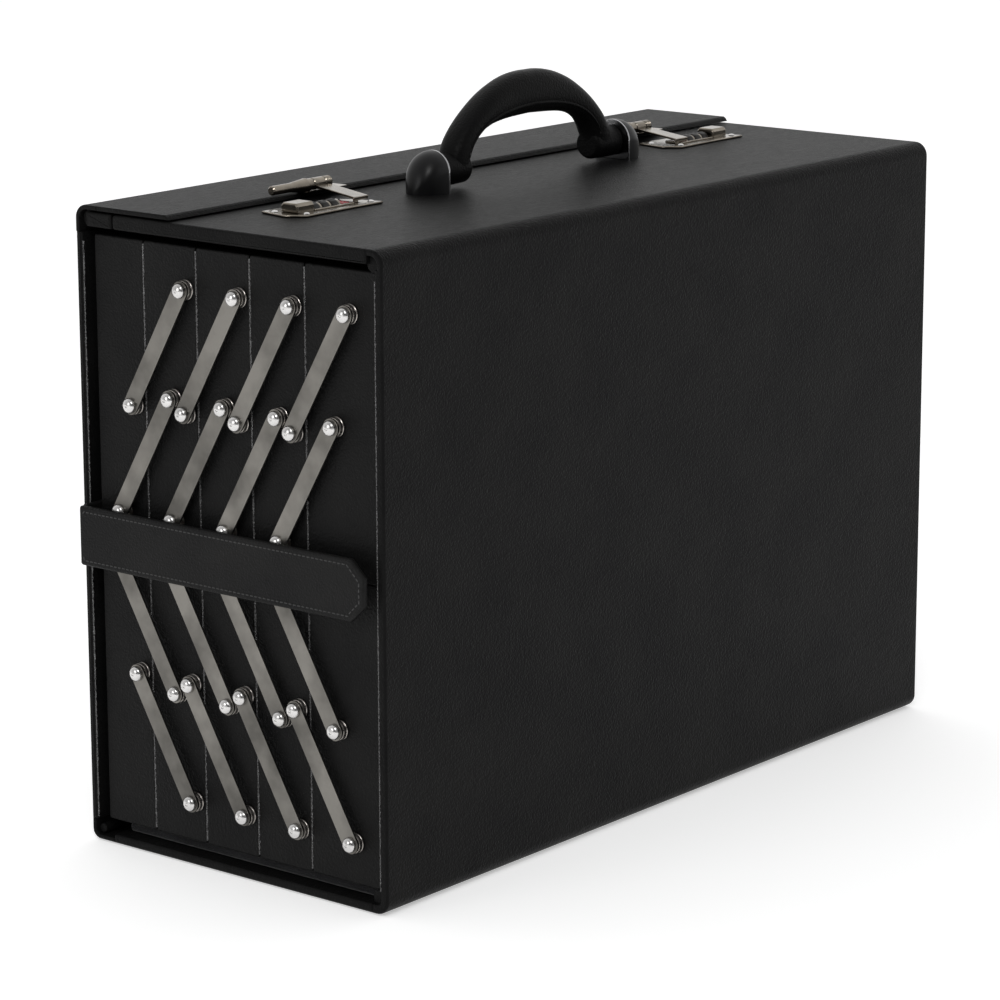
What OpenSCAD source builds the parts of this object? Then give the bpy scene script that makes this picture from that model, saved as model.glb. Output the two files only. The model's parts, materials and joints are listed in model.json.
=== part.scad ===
// Carrying case for eyewear samples: a hard leatherette case that holds ten shallow
// trays in two halves, each half a stack that fans out on parallel steel arms.
// +X runs along the case, +Y from the front board to the back cover, +Z up.
// The origin is the bottom centre. Lengths are in millimetres.

/* [Case] */
// Length of the case boards along X
case_w = 500; // [480:1:520]
// Depth from the front board's face to the back cover's face
case_d = 215; // [212:1:222]
// Height from the bottom face to the top board's upper face
case_h = 350; // [340:1:370]
// Thickness of the front and bottom boards
board_t = 5; // [4:0.5:5]
// Thickness of the top board
top_t = 8; // [8:0.5:9]

/* [Lip and cover] */
// Where the lip's front edge lies, from the front face
lip_front = 147; // [143:1:150]
// Thickness of the lip
lip_t = 2.6; // [2.4:0.1:3.5]
// Gap between the lip and the top board
lip_gap = 1; // [1:0.1:1.6]

/* [Trays] */
// Depth of the front pair of trays
base_tray_d = 50.2; // [48:0.1:51]
// Distance from one layer of trays to the next
tray_pitch = 38; // [37:0.5:38]
// Thickness of the tray walls
wall_t = 5; // [4:0.5:6]
// Columns of spectacle cells in a tray
tray_columns = 3; // [2:1:4]
// Rows of spectacle cells in a tray
tray_rows = 3; // [2:1:4]

/* [Arms] */
// Width of a steel arm
arm_w = 10.2; // [8:0.1:10.4]
// Thickness of a steel arm
arm_t = 1.3; // [1:0.1:1.4]
// Height that a tray rises and falls between its two rest places, halved
arm_rise = 66; // [60:1:66]

/* [Handle] */
// Distance between the handle's two flanges
handle_span = 161; // [156:1:166]
// Height of the grip's top above its pivots
grip_rise = 48.4; // [44:0.1:50]
// Width of the grip across the case
grip_w = 18; // [16:1:20]

/* [Locks] */
// Distance from the case's centre to the middle of each lock
lock_x = 166; // [160:1:170]
// Distance from the case's centre to each hasp's flared rim
hasp_x = 145; // [143:1:146]
// Travel of the lock's slide button
slide_travel = 5; // [3:0.5:5]

/* [Hidden] */
$fn = 48;

leatherette = "#262626";
velvet = "#3a3a40";
steel = "#b8b4ac";
nickel = "#cfc8bb";
gloss_black = "#101010";
half_w = case_w / 2;

// Edge rolls: round cores that the leatherette wraps and bends around.
// The front ones lie on the top flap's hinge axis and opposite it at the bottom.
roll_r = 5;
rear_roll_r = 5.5;
rail_r = 7.5;
roll_gap = 0.3;
top_axis = [roll_r, case_h - roll_r];
cover_axis = [case_d - rear_roll_r, rear_roll_r];
lip_top = case_h + lip_gap + lip_t;
lip_axis = [case_d - rail_r, lip_top - rail_r];
top_rear = 188;
filler_rear = lip_axis[0] - rail_r - 0.1;
lip_rear = filler_rear - 0.4;
lip_slope = 2.5;
bottom_rear = 198.5;

// Back cover
back_t = 4.5;
pad_t = 3.8;
cover_foot = cover_axis[1] + 5.8;
cover_head = lip_axis[1] - 7.1;

// Layers of trays, counted from 0 at the front board. mid_z parts the two halves.
layers = 5;
mid_z = case_h / 2;
half_gap = 0.3;
tray_top = case_h - top_t - 4;
tray_half_w = half_w - 3.8;
layer_gap = 0.3;
last_tray_rear = case_d - 9.7;
floor_t = 2.4;
lining_t = 1.6;
divider_t = 3;
ridge_h = 8;
rim_recess = 1;
function layer_front(n) = n == 0 ? board_t : board_t + base_tray_d + layer_gap + tray_pitch * (n - 1);
function layer_rear(n) = n == layers - 1 ? last_tray_rear : layer_front(n + 1) - layer_gap;
// The front layer is deeper than the others, so its pivots are counted back from its seam.
function pivot_base(n) = layer_front(1) + tray_pitch * (n - 1);

// Arms and rivets. Each tray end has four pivots, given from pivot_base and up from the bottom.
arm_reach = [tray_pitch, -arm_rise];
arm_len = norm(arm_reach);
outer_pivot = [6.5, case_h - 35];
inner_pivot = [16.5, case_h - 94.5];
washer_r = 5.35;
washer_out = half_w + 0.1;
arm_in = washer_out + 0.2;
arm_out = arm_in + arm_t;
head_in = arm_out + 0.2;
head_h = 3.2;
head_r = 4.1;
shank_r = 1.6;
shank_depth = 4;
hole_clear = 0.3;
loose_clear = 0.6;

// Straps
strap_in = head_in + head_h + 0.5;
strap_t = 4;
strap_z = [158, 191];
strap_tip = 6;
strap_root_y = 207;
strap_chamfer = 9;
tab_inner_x = 236;

// Handle
handle_y = case_d / 2;
pivot_z = case_h + 11;
grip_end_w = 24;
grip_inner_rise = 24;
grip_side = handle_span / 2 - 0.5;
grip_shoulder = 8;
flange_t = 1.5;
dome_len = 17;
dome_w = 24;
dome_h = 23;
pin_r = 2.5;

// Locks, in each lock's own frame: X from its middle towards the case's centre
plate_t = 1.4;
plate_top = case_h + plate_t;
dial_y = 113;
dial_r = 4.6;
dial_w = 5.2;
dial_step = 7.4;
dial_x = -9;
dial_z = case_h + 0.4;
axle_r = 0.9;
well_r = 5.2;
slide_x = [-27, -13.5];
slide_h = 5.2;
slide_half_y = 6;
marker_x = [11, 17.5];
slot_x = [19, 23.3];
slot_y = [106.2, 113];

// Hasps, both the same way round: X from the flared rim towards the right end
hasp_y = 145;
barrel_r = 3.3;
barrel_z = lip_top + 0.6 + barrel_r;
base_t = 0.5;
arm_plate_t = 1.4;
arm_plate_top = barrel_z - 0.2;
arm_fall = 0.07;
tip_y = 107.6;
tip_x = [-1.8, 9.5];

// Everything is laid out with Y counted from the front face, then centred.
module in_case() translate([0, -case_d / 2, 0]) children();

// A box from two opposite corners
module block(low, high) translate(low) cube(high - low);

// A bar of outline given in Y and Z, running along X from x0 to x1
module bar(x0, x1) translate([x0, 0, 0]) rotate([90, 0, 90]) linear_extrude(x1 - x0) children();

// Both ends of the case, the left one a mirror of the right
module both_ends() {
    for (side = [0, 1]) mirror([side, 0, 0]) children();
}

// The lower half of the case's contents, a mirror of the upper half
module lower_half() translate([0, 0, case_h]) mirror([0, 0, 1]) children();

module front_board() {
    color(leatherette) in_case()
        block([-half_w, 0, 2 * roll_r + roll_gap], [half_w, board_t, case_h - 2 * roll_r - roll_gap]);
}

module bottom_board() {
    color(leatherette) in_case()
        block([-half_w, 2 * roll_r + roll_gap, 0], [half_w, bottom_rear, board_t]);
}

module bottom_pad() {
    color(velvet) in_case()
        block([10 - half_w, 14, board_t], [half_w - 10, bottom_rear - 3, board_t + 4.5]);
}

module roll(y, z, r) {
    bar(-half_w, half_w) translate([y, z]) circle(r);
}

module edge_rolls() {
    color(leatherette) in_case() {
        roll(top_axis[0], top_axis[1], roll_r);
        roll(roll_r, roll_r, roll_r);
        roll(cover_axis[0], cover_axis[1], rear_roll_r);
    }
}

module back_board() {
    color(leatherette) in_case()
        block([-half_w, case_d - back_t, cover_foot], [half_w, case_d, cover_head]);
}

module back_pad() {
    color(velvet) in_case()
        block([2 - tab_inner_x, case_d - back_t - pad_t, 14], [tab_inner_x - 2, case_d - back_t, 337]);
}

// The cover's upper edge: the round core that the lip bends about, and a filler in front of it
module cover_rail() {
    color(leatherette) in_case() {
        roll(lip_axis[0], lip_axis[1], rail_r);
        block([-half_w, top_rear + 0.8, case_h - top_t], [half_w, filler_rear, case_h]);
    }
}

module strap_roots() {
    color(leatherette) in_case() both_ends()
        block([tab_inner_x, strap_root_y - 0.2, strap_z[0]], [strap_in - 0.4, case_d - back_t, strap_z[1]]);
}

module lip_board() {
    color(leatherette) in_case() bar(-half_w, half_w) polygon([
        [lip_front, case_h + lip_gap], [lip_rear, case_h + lip_gap],
        [lip_rear, lip_top], [lip_front + lip_slope, lip_top]
    ]);
}

// One lock's own frame: X from its middle towards the case's centre, Y from the front face
module at_lock(side) {
    in_case() mirror([side > 0 ? 1 : 0, 0, 0]) translate([-lock_x, 0, 0]) children();
}

// A cylinder along X between two places in a lock
module lock_pin(x0, x1, y, z, r1, r2) {
    translate([x0, y, z]) rotate([0, 90, 0]) cylinder(h = x1 - x0, r1 = r1, r2 = r2);
}

// The place of a lock or a hasp whose shape isn't mirrored
module at_spot(side, x) in_case() translate([side * x, 0, 0]) children();

module hasp_bases() {
    color(nickel) for (side = [-1, 1]) at_spot(side, hasp_x) {
        block([-1, hasp_y - 2, lip_top], [33, hasp_y + 15, lip_top + base_t]);
        difference() {
            union() {
                lock_pin(0, 5, hasp_y, barrel_z, barrel_r, barrel_r);
                lock_pin(14.6, 20, hasp_y, barrel_z, barrel_r, barrel_r);
                lock_pin(-11, 0, hasp_y, barrel_z, 2.6, 3.8);
                lock_pin(-27, -11, hasp_y, barrel_z, 2.6, 2.6);
                block([0, hasp_y, lip_top + base_t], [5, hasp_y + barrel_r, barrel_z]);
                block([14.6, hasp_y, lip_top + base_t], [20, hasp_y + barrel_r, barrel_z]);
            }
            lock_pin(-1, 21, hasp_y, barrel_z, 1.2, 1.2);
        }
        lock_pin(-1, 20, hasp_y, barrel_z, 1.1, 1.1);
    }
}

// The hasp: a knuckle on the barrel's pin, an arm that falls towards its tip, and a tongue
module hasp(side) {
    arm_top_shape = [
        [5.4, hasp_y], [14.2, hasp_y], [14.2, hasp_y - 3.8], [16.5, hasp_y - 4.2],
        [tip_x[1], tip_y], [tip_x[0], tip_y], [5.4, hasp_y - 4]
    ];
    tip_z = arm_plate_top - arm_plate_t - arm_fall * (hasp_y - tip_y);
    color(nickel) at_spot(side, hasp_x) {
        difference() {
            union() {
                lock_pin(5.4, 14.2, hasp_y, barrel_z, barrel_r, barrel_r);
                translate([0, 0, arm_plate_top - arm_plate_t])
                    multmatrix([[1, 0, 0, 0], [0, 1, 0, 0], [0, arm_fall, 1, -arm_fall * hasp_y]])
                    linear_extrude(arm_plate_t) polygon(arm_top_shape);
            }
            lock_pin(5, 15, hasp_y, barrel_z, 1.3, 1.3);
        }
        block([tip_x[0], tip_y, plate_top + 1.2], [tip_x[1], tip_y + 1.5, tip_z + 0.4]);
        block([-1.5, tip_y + 0.1, case_h + 0.6], [1.5, tip_y + 1.4, plate_top + 1.2]);
    }
}

// Pockets that the lock's works take out of the top board
module lock_pockets() {
    for (side = [-1, 1]) at_lock(side) {
        block([dial_x - dial_w, dial_y - well_r, case_h - 5], [marker_x[1], dial_y + well_r, case_h + 1]);
        block([slide_x[0] + 1, dial_y - 2.5, case_h - 4], [slide_x[1] - 2, dial_y + 2.5, case_h + 1]);
    }
}

module top_board() {
    color(leatherette) difference() {
        in_case() block([-half_w, 2 * roll_r + roll_gap, case_h - top_t], [half_w, top_rear, case_h]);
        lock_pockets();
    }
}

module lock_plate(side) {
    outline = [[-31, 129], [-35, 109], [-27, 100], [13, 101.5], [35, 101], [30, 118], [25, 126], [-8, 128]];
    color(nickel) difference() {
        at_spot(side, lock_x) translate([0, 0, case_h]) linear_extrude(plate_t) polygon(outline);
        at_lock(side) {
            block([dial_x - dial_w / 2 - 0.5, dial_y - well_r, case_h - 1],
                  [marker_x[1], dial_y + well_r, plate_top + 1]);
            block([slide_x[0] + 1, dial_y - 1.8, case_h - 1], [slide_x[1] - 2, dial_y + 1.8, plate_top + 1]);
            block([slot_x[0], slot_y[0], case_h + 0.2], [slot_x[1], slot_y[1], plate_top + 1]);
        }
    }
    color(nickel) at_lock(side)
        lock_pin(dial_x - dial_w / 2 - 0.5, marker_x[1], dial_y, dial_z, axle_r, axle_r);
}

module lock_markers() {
    color("#c01824") for (side = [-1, 1]) at_lock(side) difference() {
        block([marker_x[0], dial_y - 4, case_h - 3], [marker_x[1] - 0.2, dial_y + 4, plate_top + 0.9]);
        lock_pin(marker_x[0] - 1, marker_x[1] + 1, dial_y, dial_z, axle_r + 0.02, axle_r + 0.02);
    }
}

// The slide button, with a stem that runs in the plate's slot
module slide(side) {
    color(nickel) at_lock(side) {
        difference() {
            block([slide_x[0], dial_y - slide_half_y, plate_top + 0.1],
                  [slide_x[1], dial_y + slide_half_y, plate_top + slide_h]);
            for (dy = [-slide_half_y, slide_half_y])
                translate([slide_x[0] - 1, dial_y + dy, plate_top + slide_h]) rotate([45, 0, 0])
                    translate([0, -1.4, -1.4]) cube([20, 2.8, 2.8]);
        }
        block([-20.4, dial_y - 1.5, case_h - 3], [-16.6, dial_y + 1.5, plate_top + 0.1]);
    }
}

// A number wheel, turning on the plate's axle
module dial(side, k) {
    middle = dial_x + dial_step * (k - 1);
    color("#2b2724") at_lock(side) difference() {
        union() {
            lock_pin(middle - dial_w / 2, middle + dial_w / 2, dial_y, dial_z, dial_r - 0.5, dial_r - 0.5);
            lock_pin(middle - 1.6, middle + 1.6, dial_y, dial_z, dial_r, dial_r);
        }
        lock_pin(middle - dial_w, middle + dial_w, dial_y, dial_z, axle_r + 0.1, axle_r + 0.1);
    }
}

// Tray ends: where the four pivots of a layer's tray are. The front layer has no far
// pivots, and the rear layer has no near ones.
function near_pivots(n) = n == layers - 1 ? [] :
    [for (p = [outer_pivot, inner_pivot]) [pivot_base(n) + p[0], p[1]]];
function far_pivots(n) = n == 0 ? [] :
    [for (p = [outer_pivot, inner_pivot]) [pivot_base(n) + p[0], p[1] - arm_rise]];
function tray_pivots(n) = concat(near_pivots(n), far_pivots(n));

// An upper tray: an open box whose floor faces the front
module tray(n) {
    y0 = layer_front(n);
    y1 = layer_rear(n);
    color(leatherette) in_case() difference() {
        block([-tray_half_w, y0, mid_z + half_gap], [tray_half_w, y1, tray_top]);
        block([wall_t - tray_half_w, y0 + floor_t, mid_z + half_gap + wall_t],
              [tray_half_w - wall_t, y1 + 1, tray_top - wall_t]);
        for (p = tray_pivots(n)) for (side = [-1, 1]) translate([side * (tray_half_w - shank_depth / 2), p[0], p[1]])
            rotate([0, 90, 0]) cylinder(h = shank_depth + 1, r = shank_r + 0.02, center = true);
    }
}

// A velvet lining with full dividers between its columns and low ridges between its rows
module insert(n) {
    y0 = layer_front(n) + floor_t;
    y1 = layer_rear(n) - rim_recess;
    x1 = tray_half_w - wall_t - 0.1;
    z0 = mid_z + half_gap + wall_t + 0.1;
    z1 = tray_top - wall_t - 0.1;
    color(velvet) in_case() {
        block([-x1, y0, z0], [x1, y0 + lining_t, z1]);
        for (k = [1:tray_columns - 1]) {
            x = -x1 + 2 * x1 * k / tray_columns;
            block([x - divider_t / 2, y0, z0], [x + divider_t / 2, y1, z1]);
        }
        for (k = [1:tray_rows - 1]) {
            z = z0 + (z1 - z0) * k / tray_rows;
            block([-x1, y0, z - divider_t / 2], [x1, y0 + ridge_h, z + divider_t / 2]);
        }
    }
}

module inserts_lower() {
    lower_half() for (n = [0:layers - 1]) insert(n);
}

// One steel arm at the right end, from its near pivot on layer n to layer n + 1
module arm(n, pivot, far_clear) {
    near = [pivot_base(n) + pivot[0], pivot[1]];
    color(steel) in_case() difference() {
        translate([0, near[0], near[1]]) rotate([atan2(arm_reach[1], arm_reach[0]), 0, 0]) {
            block([arm_in, 0, -arm_w / 2], [arm_out, arm_len, arm_w / 2]);
            for (y = [0, arm_len]) translate([arm_in, y, 0]) rotate([0, 90, 0]) cylinder(h = arm_t, d = arm_w);
        }
        translate([arm_in - 1, near[0], near[1]]) rotate([0, 90, 0])
            cylinder(h = arm_t + 2, r = shank_r + hole_clear);
        translate([arm_in - 1, near[0] + arm_reach[0], near[1] + arm_reach[1]]) rotate([0, 90, 0])
            cylinder(h = arm_t + 2, r = shank_r + far_clear);
    }
}

module arms_outer(n) {
    both_ends() arm(n, outer_pivot, hole_clear);
}

module arms_inner(n) {
    both_ends() arm(n, inner_pivot, loose_clear);
}

module arms_lower() {
    lower_half() for (n = [0:layers - 2]) {
        arms_outer(n);
        arms_inner(n);
    }
}

// A rivet along X: its shank in the tray's wall, a thick washer and a domed head
module rivet() {
    ball_r = (head_r * head_r + head_h * head_h) / (2 * head_h);
    half_angle = asin(head_r / ball_r);
    dome = [for (k = [0:6]) [ball_r * sin(half_angle * (1 - k / 6)),
                             head_in + head_h - ball_r + ball_r * cos(half_angle * (1 - k / 6))]];
    rotate([0, 90, 0]) rotate_extrude() polygon(concat(
        [[0, tray_half_w - shank_depth], [shank_r, tray_half_w - shank_depth], [shank_r, tray_half_w],
         [washer_r, tray_half_w], [washer_r, washer_out], [shank_r, washer_out], [shank_r, head_in]],
        dome
    ));
}

module rivets(n) {
    color(nickel) in_case() both_ends() for (p = tray_pivots(n)) translate([0, p[0], p[1]]) rivet();
}

module rivets_lower() {
    lower_half() for (n = [0:layers - 1]) rivets(n);
}

// A strap: a round root on its hinge axis, then a flat band to a tip with cut corners
module strap_right() {
    root_x = strap_in + strap_t / 2;
    color(leatherette) in_case() {
        translate([root_x, strap_root_y, strap_z[0]]) cylinder(h = strap_z[1] - strap_z[0], d = strap_t);
        bar(strap_in, strap_in + strap_t) polygon([
            [strap_root_y, strap_z[0]], [strap_root_y, strap_z[1]],
            [strap_tip + strap_chamfer, strap_z[1]], [strap_tip, strap_z[1] - strap_chamfer],
            [strap_tip, strap_z[0] + strap_chamfer], [strap_tip + strap_chamfer, strap_z[0]]
        ]);
    }
}

module strap_left() {
    mirror([1, 0, 0]) strap_right();
}

// A point on a rounded arch; power 2 is an ellipse, less is more pointed and more is squarer
function arch(across, up, power, angle) = [
    across * sign(cos(angle)) * pow(abs(cos(angle)), 2 / power),
    up * pow(sin(angle), 2 / power)
];

// The grip: an arch that is thickest in the middle, with round feet that turn on the pins
module handle_grip() {
    steps = 24;
    inner_side = grip_side - grip_end_w;
    outer = [for (k = [0:steps]) arch(grip_side - grip_shoulder, grip_rise, 1.75, 180 * k / steps)];
    inner = [for (k = [steps:-1:0]) arch(inner_side, grip_inner_rise, 2.6, 180 * k / steps)];
    color(leatherette) in_case() translate([0, handle_y, pivot_z]) difference() {
        union() {
            rotate([90, 0, 0]) linear_extrude(grip_w, center = true) polygon(concat(outer, inner));
            for (side = [0, 1]) mirror([side, 0, 0]) translate([inner_side, 0, 0]) rotate([0, 90, 0])
                cylinder(h = grip_end_w, d = grip_w);
        }
        for (side = [-1, 1]) translate([side * (inner_side + grip_end_w / 2), 0, 0]) rotate([0, 90, 0])
            cylinder(h = grip_end_w + 1, r = pin_r + 0.1, center = true);
    }
}

// A flange with a pin at each end of the grip
module handle_mounts() {
    color(nickel) in_case() both_ends() translate([handle_span / 2, handle_y, 0]) {
        bar(0, flange_t) {
            intersection() {
                translate([0, pivot_z]) circle(dome_w / 2);
                translate([-dome_w / 2, case_h]) square([dome_w, dome_w]);
            }
            translate([-dome_w / 2, case_h]) square([dome_w, pivot_z - case_h]);
        }
        translate([-grip_end_w + 2, 0, pivot_z]) rotate([0, 90, 0]) cylinder(h = grip_end_w - 2, r = pin_r);
    }
}

// The domed caps outside the flanges
module handle_ends() {
    half = dome_w / 2;
    color(gloss_black) in_case() both_ends() translate([handle_span / 2 + flange_t, handle_y, case_h])
        intersection() {
            hull($fn = 32) {
                translate([0, 0, dome_h - half]) rotate([0, 90, 0]) cylinder(h = 1, r = half);
                translate([0, -half, 0]) cube([1, dome_w, 1]);
                translate([dome_len - half, 0, 5]) sphere(half - 1.5);
                translate([dome_len - half, 0, 0]) cylinder(h = 1, r = half);
                translate([2, 0, dome_h - half + 1]) sphere(half - 1.5);
            }
            translate([0, -dome_w, 0]) cube([2 * dome_w, 2 * dome_w, 2 * dome_h]);
        }
}

front_board();
bottom_board();
bottom_pad();
edge_rolls();
back_board();
back_pad();
cover_rail();
strap_roots();
lip_board();
hasp_bases();
top_board();
handle_mounts();
handle_ends();
lock_plate(-1);  // lock_plate_left
lock_plate(1);  // lock_plate_right
lock_markers();
tray(0);  // tray_upper_1
tray(1);  // tray_upper_2
tray(2);  // tray_upper_3
tray(3);  // tray_upper_4
tray(4);  // tray_upper_5
lower_half() tray(0);  // tray_lower_1
lower_half() tray(1);  // tray_lower_2
lower_half() tray(2);  // tray_lower_3
lower_half() tray(3);  // tray_lower_4
lower_half() tray(4);  // tray_lower_5
insert(0);  // insert_upper_1
insert(1);  // insert_upper_2
insert(2);  // insert_upper_3
insert(3);  // insert_upper_4
insert(4);  // insert_upper_5
inserts_lower();
arms_outer(0);  // arms_outer_1
arms_outer(1);  // arms_outer_2
arms_outer(2);  // arms_outer_3
arms_outer(3);  // arms_outer_4
arms_inner(0);  // arms_inner_1
arms_inner(1);  // arms_inner_2
arms_inner(2);  // arms_inner_3
arms_inner(3);  // arms_inner_4
arms_lower();
rivets(0);  // rivets_upper_1
rivets(1);  // rivets_upper_2
rivets(2);  // rivets_upper_3
rivets(3);  // rivets_upper_4
rivets(4);  // rivets_upper_5
rivets_lower();
strap_left();
strap_right();
handle_grip();
hasp(-1);  // hasp_left
hasp(1);  // hasp_right
slide(-1);  // slide_left
slide(1);  // slide_right
dial(-1, 1);  // dial_left_1
dial(-1, 2);  // dial_left_2
dial(-1, 3);  // dial_left_3
dial(1, 1);  // dial_right_1
dial(1, 2);  // dial_right_2
dial(1, 3);  // dial_right_3
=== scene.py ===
"""Looks for the eyewear sample case: leatherette boards, velvet-lined trays, steel arms,
straps, a padded handle and combination locks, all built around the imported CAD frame."""

import json
import math

import bmesh
import bpy
from mathutils import Matrix, Vector


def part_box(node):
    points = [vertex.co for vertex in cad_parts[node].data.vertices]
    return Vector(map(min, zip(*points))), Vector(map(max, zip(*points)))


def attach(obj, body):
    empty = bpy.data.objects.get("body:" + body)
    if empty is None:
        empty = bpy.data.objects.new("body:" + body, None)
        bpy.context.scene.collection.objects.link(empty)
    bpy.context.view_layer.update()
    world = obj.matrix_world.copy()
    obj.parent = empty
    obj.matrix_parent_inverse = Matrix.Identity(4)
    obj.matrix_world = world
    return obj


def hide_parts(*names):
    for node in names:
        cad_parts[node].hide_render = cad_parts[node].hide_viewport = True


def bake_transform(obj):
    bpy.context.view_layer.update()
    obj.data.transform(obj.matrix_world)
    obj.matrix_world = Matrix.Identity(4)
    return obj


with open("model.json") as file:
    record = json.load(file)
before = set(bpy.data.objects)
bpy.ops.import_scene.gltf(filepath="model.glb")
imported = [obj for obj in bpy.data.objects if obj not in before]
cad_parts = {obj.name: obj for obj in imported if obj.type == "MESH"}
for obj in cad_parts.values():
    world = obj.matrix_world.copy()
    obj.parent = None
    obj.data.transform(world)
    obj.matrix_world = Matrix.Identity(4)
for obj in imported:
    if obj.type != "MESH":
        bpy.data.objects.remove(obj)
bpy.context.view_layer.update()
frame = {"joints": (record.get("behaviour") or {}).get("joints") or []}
MM = 0.001

# ---------------------------------------------------------------- places taken from the frame

FRONT_LOW, FRONT_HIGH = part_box("front_board")
TOP_LOW, TOP_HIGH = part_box("top_board")
LIP_LOW, LIP_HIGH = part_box("lip_board")
BACK_LOW, BACK_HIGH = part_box("back_board")
BOTTOM_LOW, BOTTOM_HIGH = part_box("bottom_board")
RAIL_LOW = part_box("cover_rail")[0]
CASE_W = FRONT_HIGH.x - FRONT_LOW.x
HALF_W = CASE_W / 2
FRONT_Y = FRONT_LOW.y
REAR_Y = BACK_HIGH.y
CASE_H = TOP_HIGH.z
JOINTS = {j["name"]: j for j in frame["joints"]}
LAYERS = 5


def joint_yz(name):
    """Where a joint's axis lies, across the case and up."""
    place = JOINTS[name]["pos_m"]
    return Vector((place[1], place[2]))


# ---------------------------------------------------------------- camera, light and floor

LENS = 139.0
CAMERA_AT = Vector((-1.6911, -1.3515, 0.6672))
CAMERA_LOOK = Vector((0.75645, 0.61318, -0.22759))
CAMERA_ROLL = math.radians(-0.16)


def make_camera():
    data = bpy.data.cameras.new("camera")
    data.lens = LENS
    data.sensor_width = 36.0
    camera = bpy.data.objects.new("camera", data)
    bpy.context.scene.collection.objects.link(camera)
    facing = CAMERA_LOOK.to_track_quat("-Z", "Y").to_matrix().to_4x4()
    camera.matrix_world = Matrix.Translation(CAMERA_AT) @ facing @ Matrix.Rotation(CAMERA_ROLL, 4, "Z")
    bpy.context.scene.camera = camera


def make_light(name, place, target, size, power, colour=(1, 1, 1)):
    data = bpy.data.lights.new(name, "AREA")
    data.shape = "RECTANGLE"
    data.size, data.size_y = size
    data.energy = power
    data.color = colour
    light = bpy.data.objects.new(name, data)
    bpy.context.scene.collection.objects.link(light)
    aim = (Vector(target) - Vector(place)).to_track_quat("-Z", "Y").to_matrix().to_4x4()
    light.matrix_world = Matrix.Translation(place) @ aim


def light_surround(tree):
    """A soft surround that is brightest beyond the case and dim on the camera's side."""
    source = tree.nodes.new("ShaderNodeTexCoord")
    facing = tree.nodes.new("ShaderNodeVectorMath")
    facing.operation = "DOT_PRODUCT"
    facing.inputs[1].default_value = (0.74, 0.6, 0.3)
    tree.links.new(source.outputs["Generated"], facing.inputs[0])
    spread = tree.nodes.new("ShaderNodeMapRange")
    spread.inputs["From Min"].default_value = -0.7
    spread.inputs["From Max"].default_value = 0.75
    spread.inputs["To Min"].default_value = 0.12
    spread.inputs["To Max"].default_value = 1.0
    tree.links.new(facing.outputs["Value"], spread.inputs["Value"])
    tree.links.new(spread.outputs["Result"], tree.nodes["Background"].inputs["Strength"])
    tree.nodes["Background"].inputs["Color"].default_value = (1, 1, 1, 1)


def make_studio():
    """A white surround, a pale floor and three soft lights."""
    scene = bpy.context.scene
    scene.view_settings.view_transform = "Standard"
    world = bpy.data.worlds.new("studio")
    world.use_nodes = True
    scene.world = world
    light_surround(world.node_tree)
    centre = (0, 0, CASE_H / 2)
    make_light("key", (-1.7, -1.2, 2.0), centre, (0.7, 0.7), 16)
    make_light("side", (-2.2, 0.5, 0.8), centre, (0.8, 0.8), 5)
    make_light("front", (0.6, -2.4, 1.2), centre, (1.2, 0.8), 1.5)
    mesh = bpy.data.meshes.new("floor")
    reach = 9.0
    mesh.from_pydata([(-reach, -reach, 0), (reach, -reach, 0), (reach, reach, 0), (-reach, reach, 0)],
                     [], [(0, 1, 2, 3)])
    floor = bpy.data.objects.new("floor", mesh)
    floor.location.z = -0.0006
    scene.collection.objects.link(floor)
    paper = plain_material("floor_white", (0.9, 0.9, 0.9), 0.9)
    shader = paper.node_tree.nodes["Principled BSDF"]
    shader.inputs["Emission Color"].default_value = (1, 1, 1, 1)
    shader.inputs["Emission Strength"].default_value = 0.42
    mesh.materials.append(paper)


# ---------------------------------------------------------------- materials

def new_material(name):
    material = bpy.data.materials.new(name)
    material.use_nodes = True
    tree = material.node_tree
    return material, tree, tree.nodes["Principled BSDF"]


def plain_material(name, colour, roughness, metallic=0.0):
    material, _, shader = new_material(name)
    shader.inputs["Base Color"].default_value = (*colour, 1)
    shader.inputs["Roughness"].default_value = roughness
    shader.inputs["Metallic"].default_value = metallic
    return material


def object_places(tree, scale):
    """Places on the surface in metres, times scale along each axis."""
    source = tree.nodes.new("ShaderNodeTexCoord")
    mapping = tree.nodes.new("ShaderNodeMapping")
    mapping.inputs["Scale"].default_value = scale
    tree.links.new(source.outputs["Object"], mapping.inputs["Vector"])
    return mapping.outputs["Vector"]


def noise(tree, places, scale, detail=3.0, roughness=0.55, distortion=0.0):
    node = tree.nodes.new("ShaderNodeTexNoise")
    node.inputs["Scale"].default_value = scale
    node.inputs["Detail"].default_value = detail
    node.inputs["Roughness"].default_value = roughness
    node.inputs["Distortion"].default_value = distortion
    tree.links.new(places, node.inputs["Vector"])
    return node.outputs["Fac"]


def cells(tree, places, scale, feature="F1"):
    node = tree.nodes.new("ShaderNodeTexVoronoi")
    node.feature = feature
    node.inputs["Scale"].default_value = scale
    tree.links.new(places, node.inputs["Vector"])
    return node.outputs["Distance"]


def maths(tree, operation, a, b):
    node = tree.nodes.new("ShaderNodeMath")
    node.operation = operation
    for slot, value in zip(node.inputs, (a, b)):
        if isinstance(value, (int, float)):
            slot.default_value = value
        else:
            tree.links.new(value, slot)
    return node.outputs[0]


def ramp(tree, value, stops):
    """A colour ramp of (place, colour) stops."""
    node = tree.nodes.new("ShaderNodeValToRGB")
    while len(node.color_ramp.elements) < len(stops):
        node.color_ramp.elements.new(0.5)
    for element, (place, colour) in zip(node.color_ramp.elements, stops):
        element.position = place
        element.color = (*colour, 1)
    tree.links.new(value, node.inputs["Fac"])
    return node.outputs["Color"]


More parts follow.
